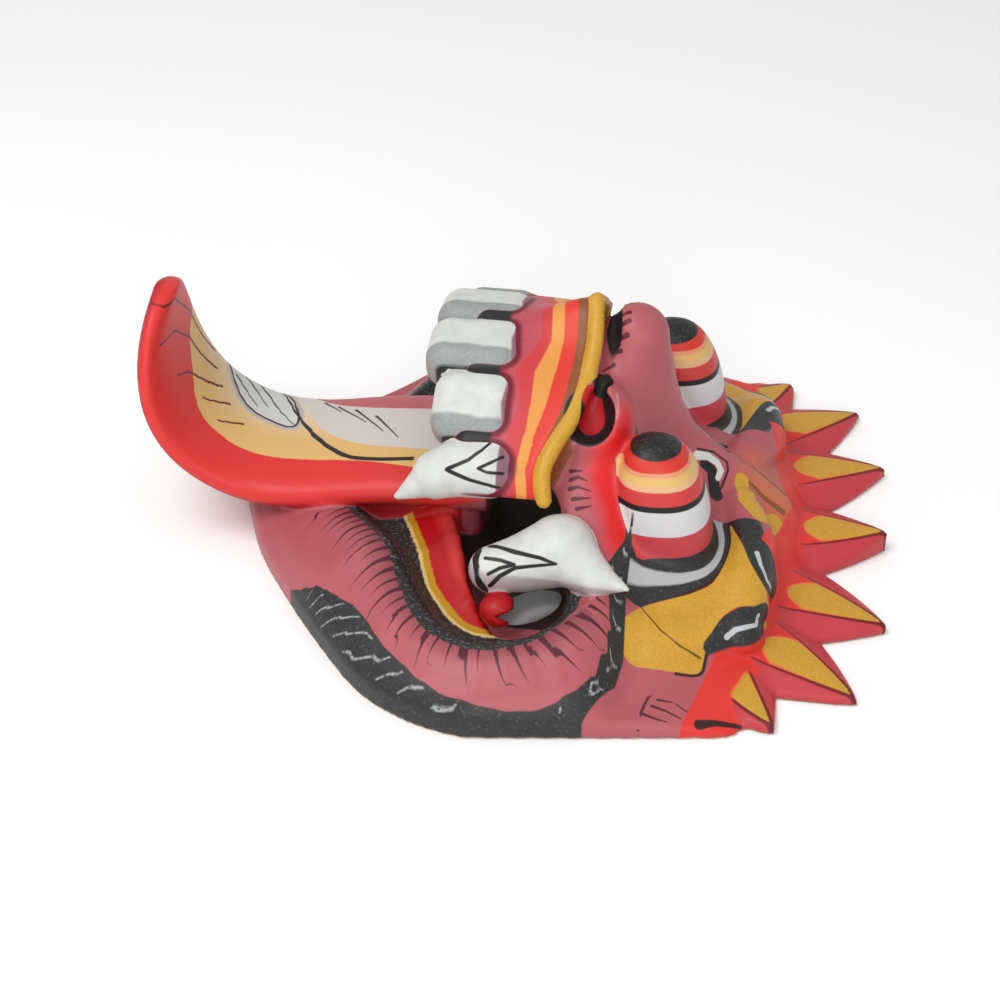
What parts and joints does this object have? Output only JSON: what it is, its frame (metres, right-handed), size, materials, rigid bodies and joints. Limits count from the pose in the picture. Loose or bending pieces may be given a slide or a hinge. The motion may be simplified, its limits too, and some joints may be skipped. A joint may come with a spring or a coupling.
{
  "type": "carved dragon mask",
  "caption": "A painted wooden dragon mask lying on its flat back, with bulging eyes, a row of teeth, fangs, tusks, a long curled tongue and a crown of flames.",
  "frame": {"origin": "centre of the bounding box in plan, on the plane of the back rim", "axes": "+X from the tongue to the flame crown, +Z the way the face looks, away from the back"},
  "size_m": [0.2324, 0.206, 0.0844],
  "materials": {
    "painted_wood": "gloss"
  },
  "bodies": {
    "root": {"mask": "painted_wood"}
  },
  "joints": []
}
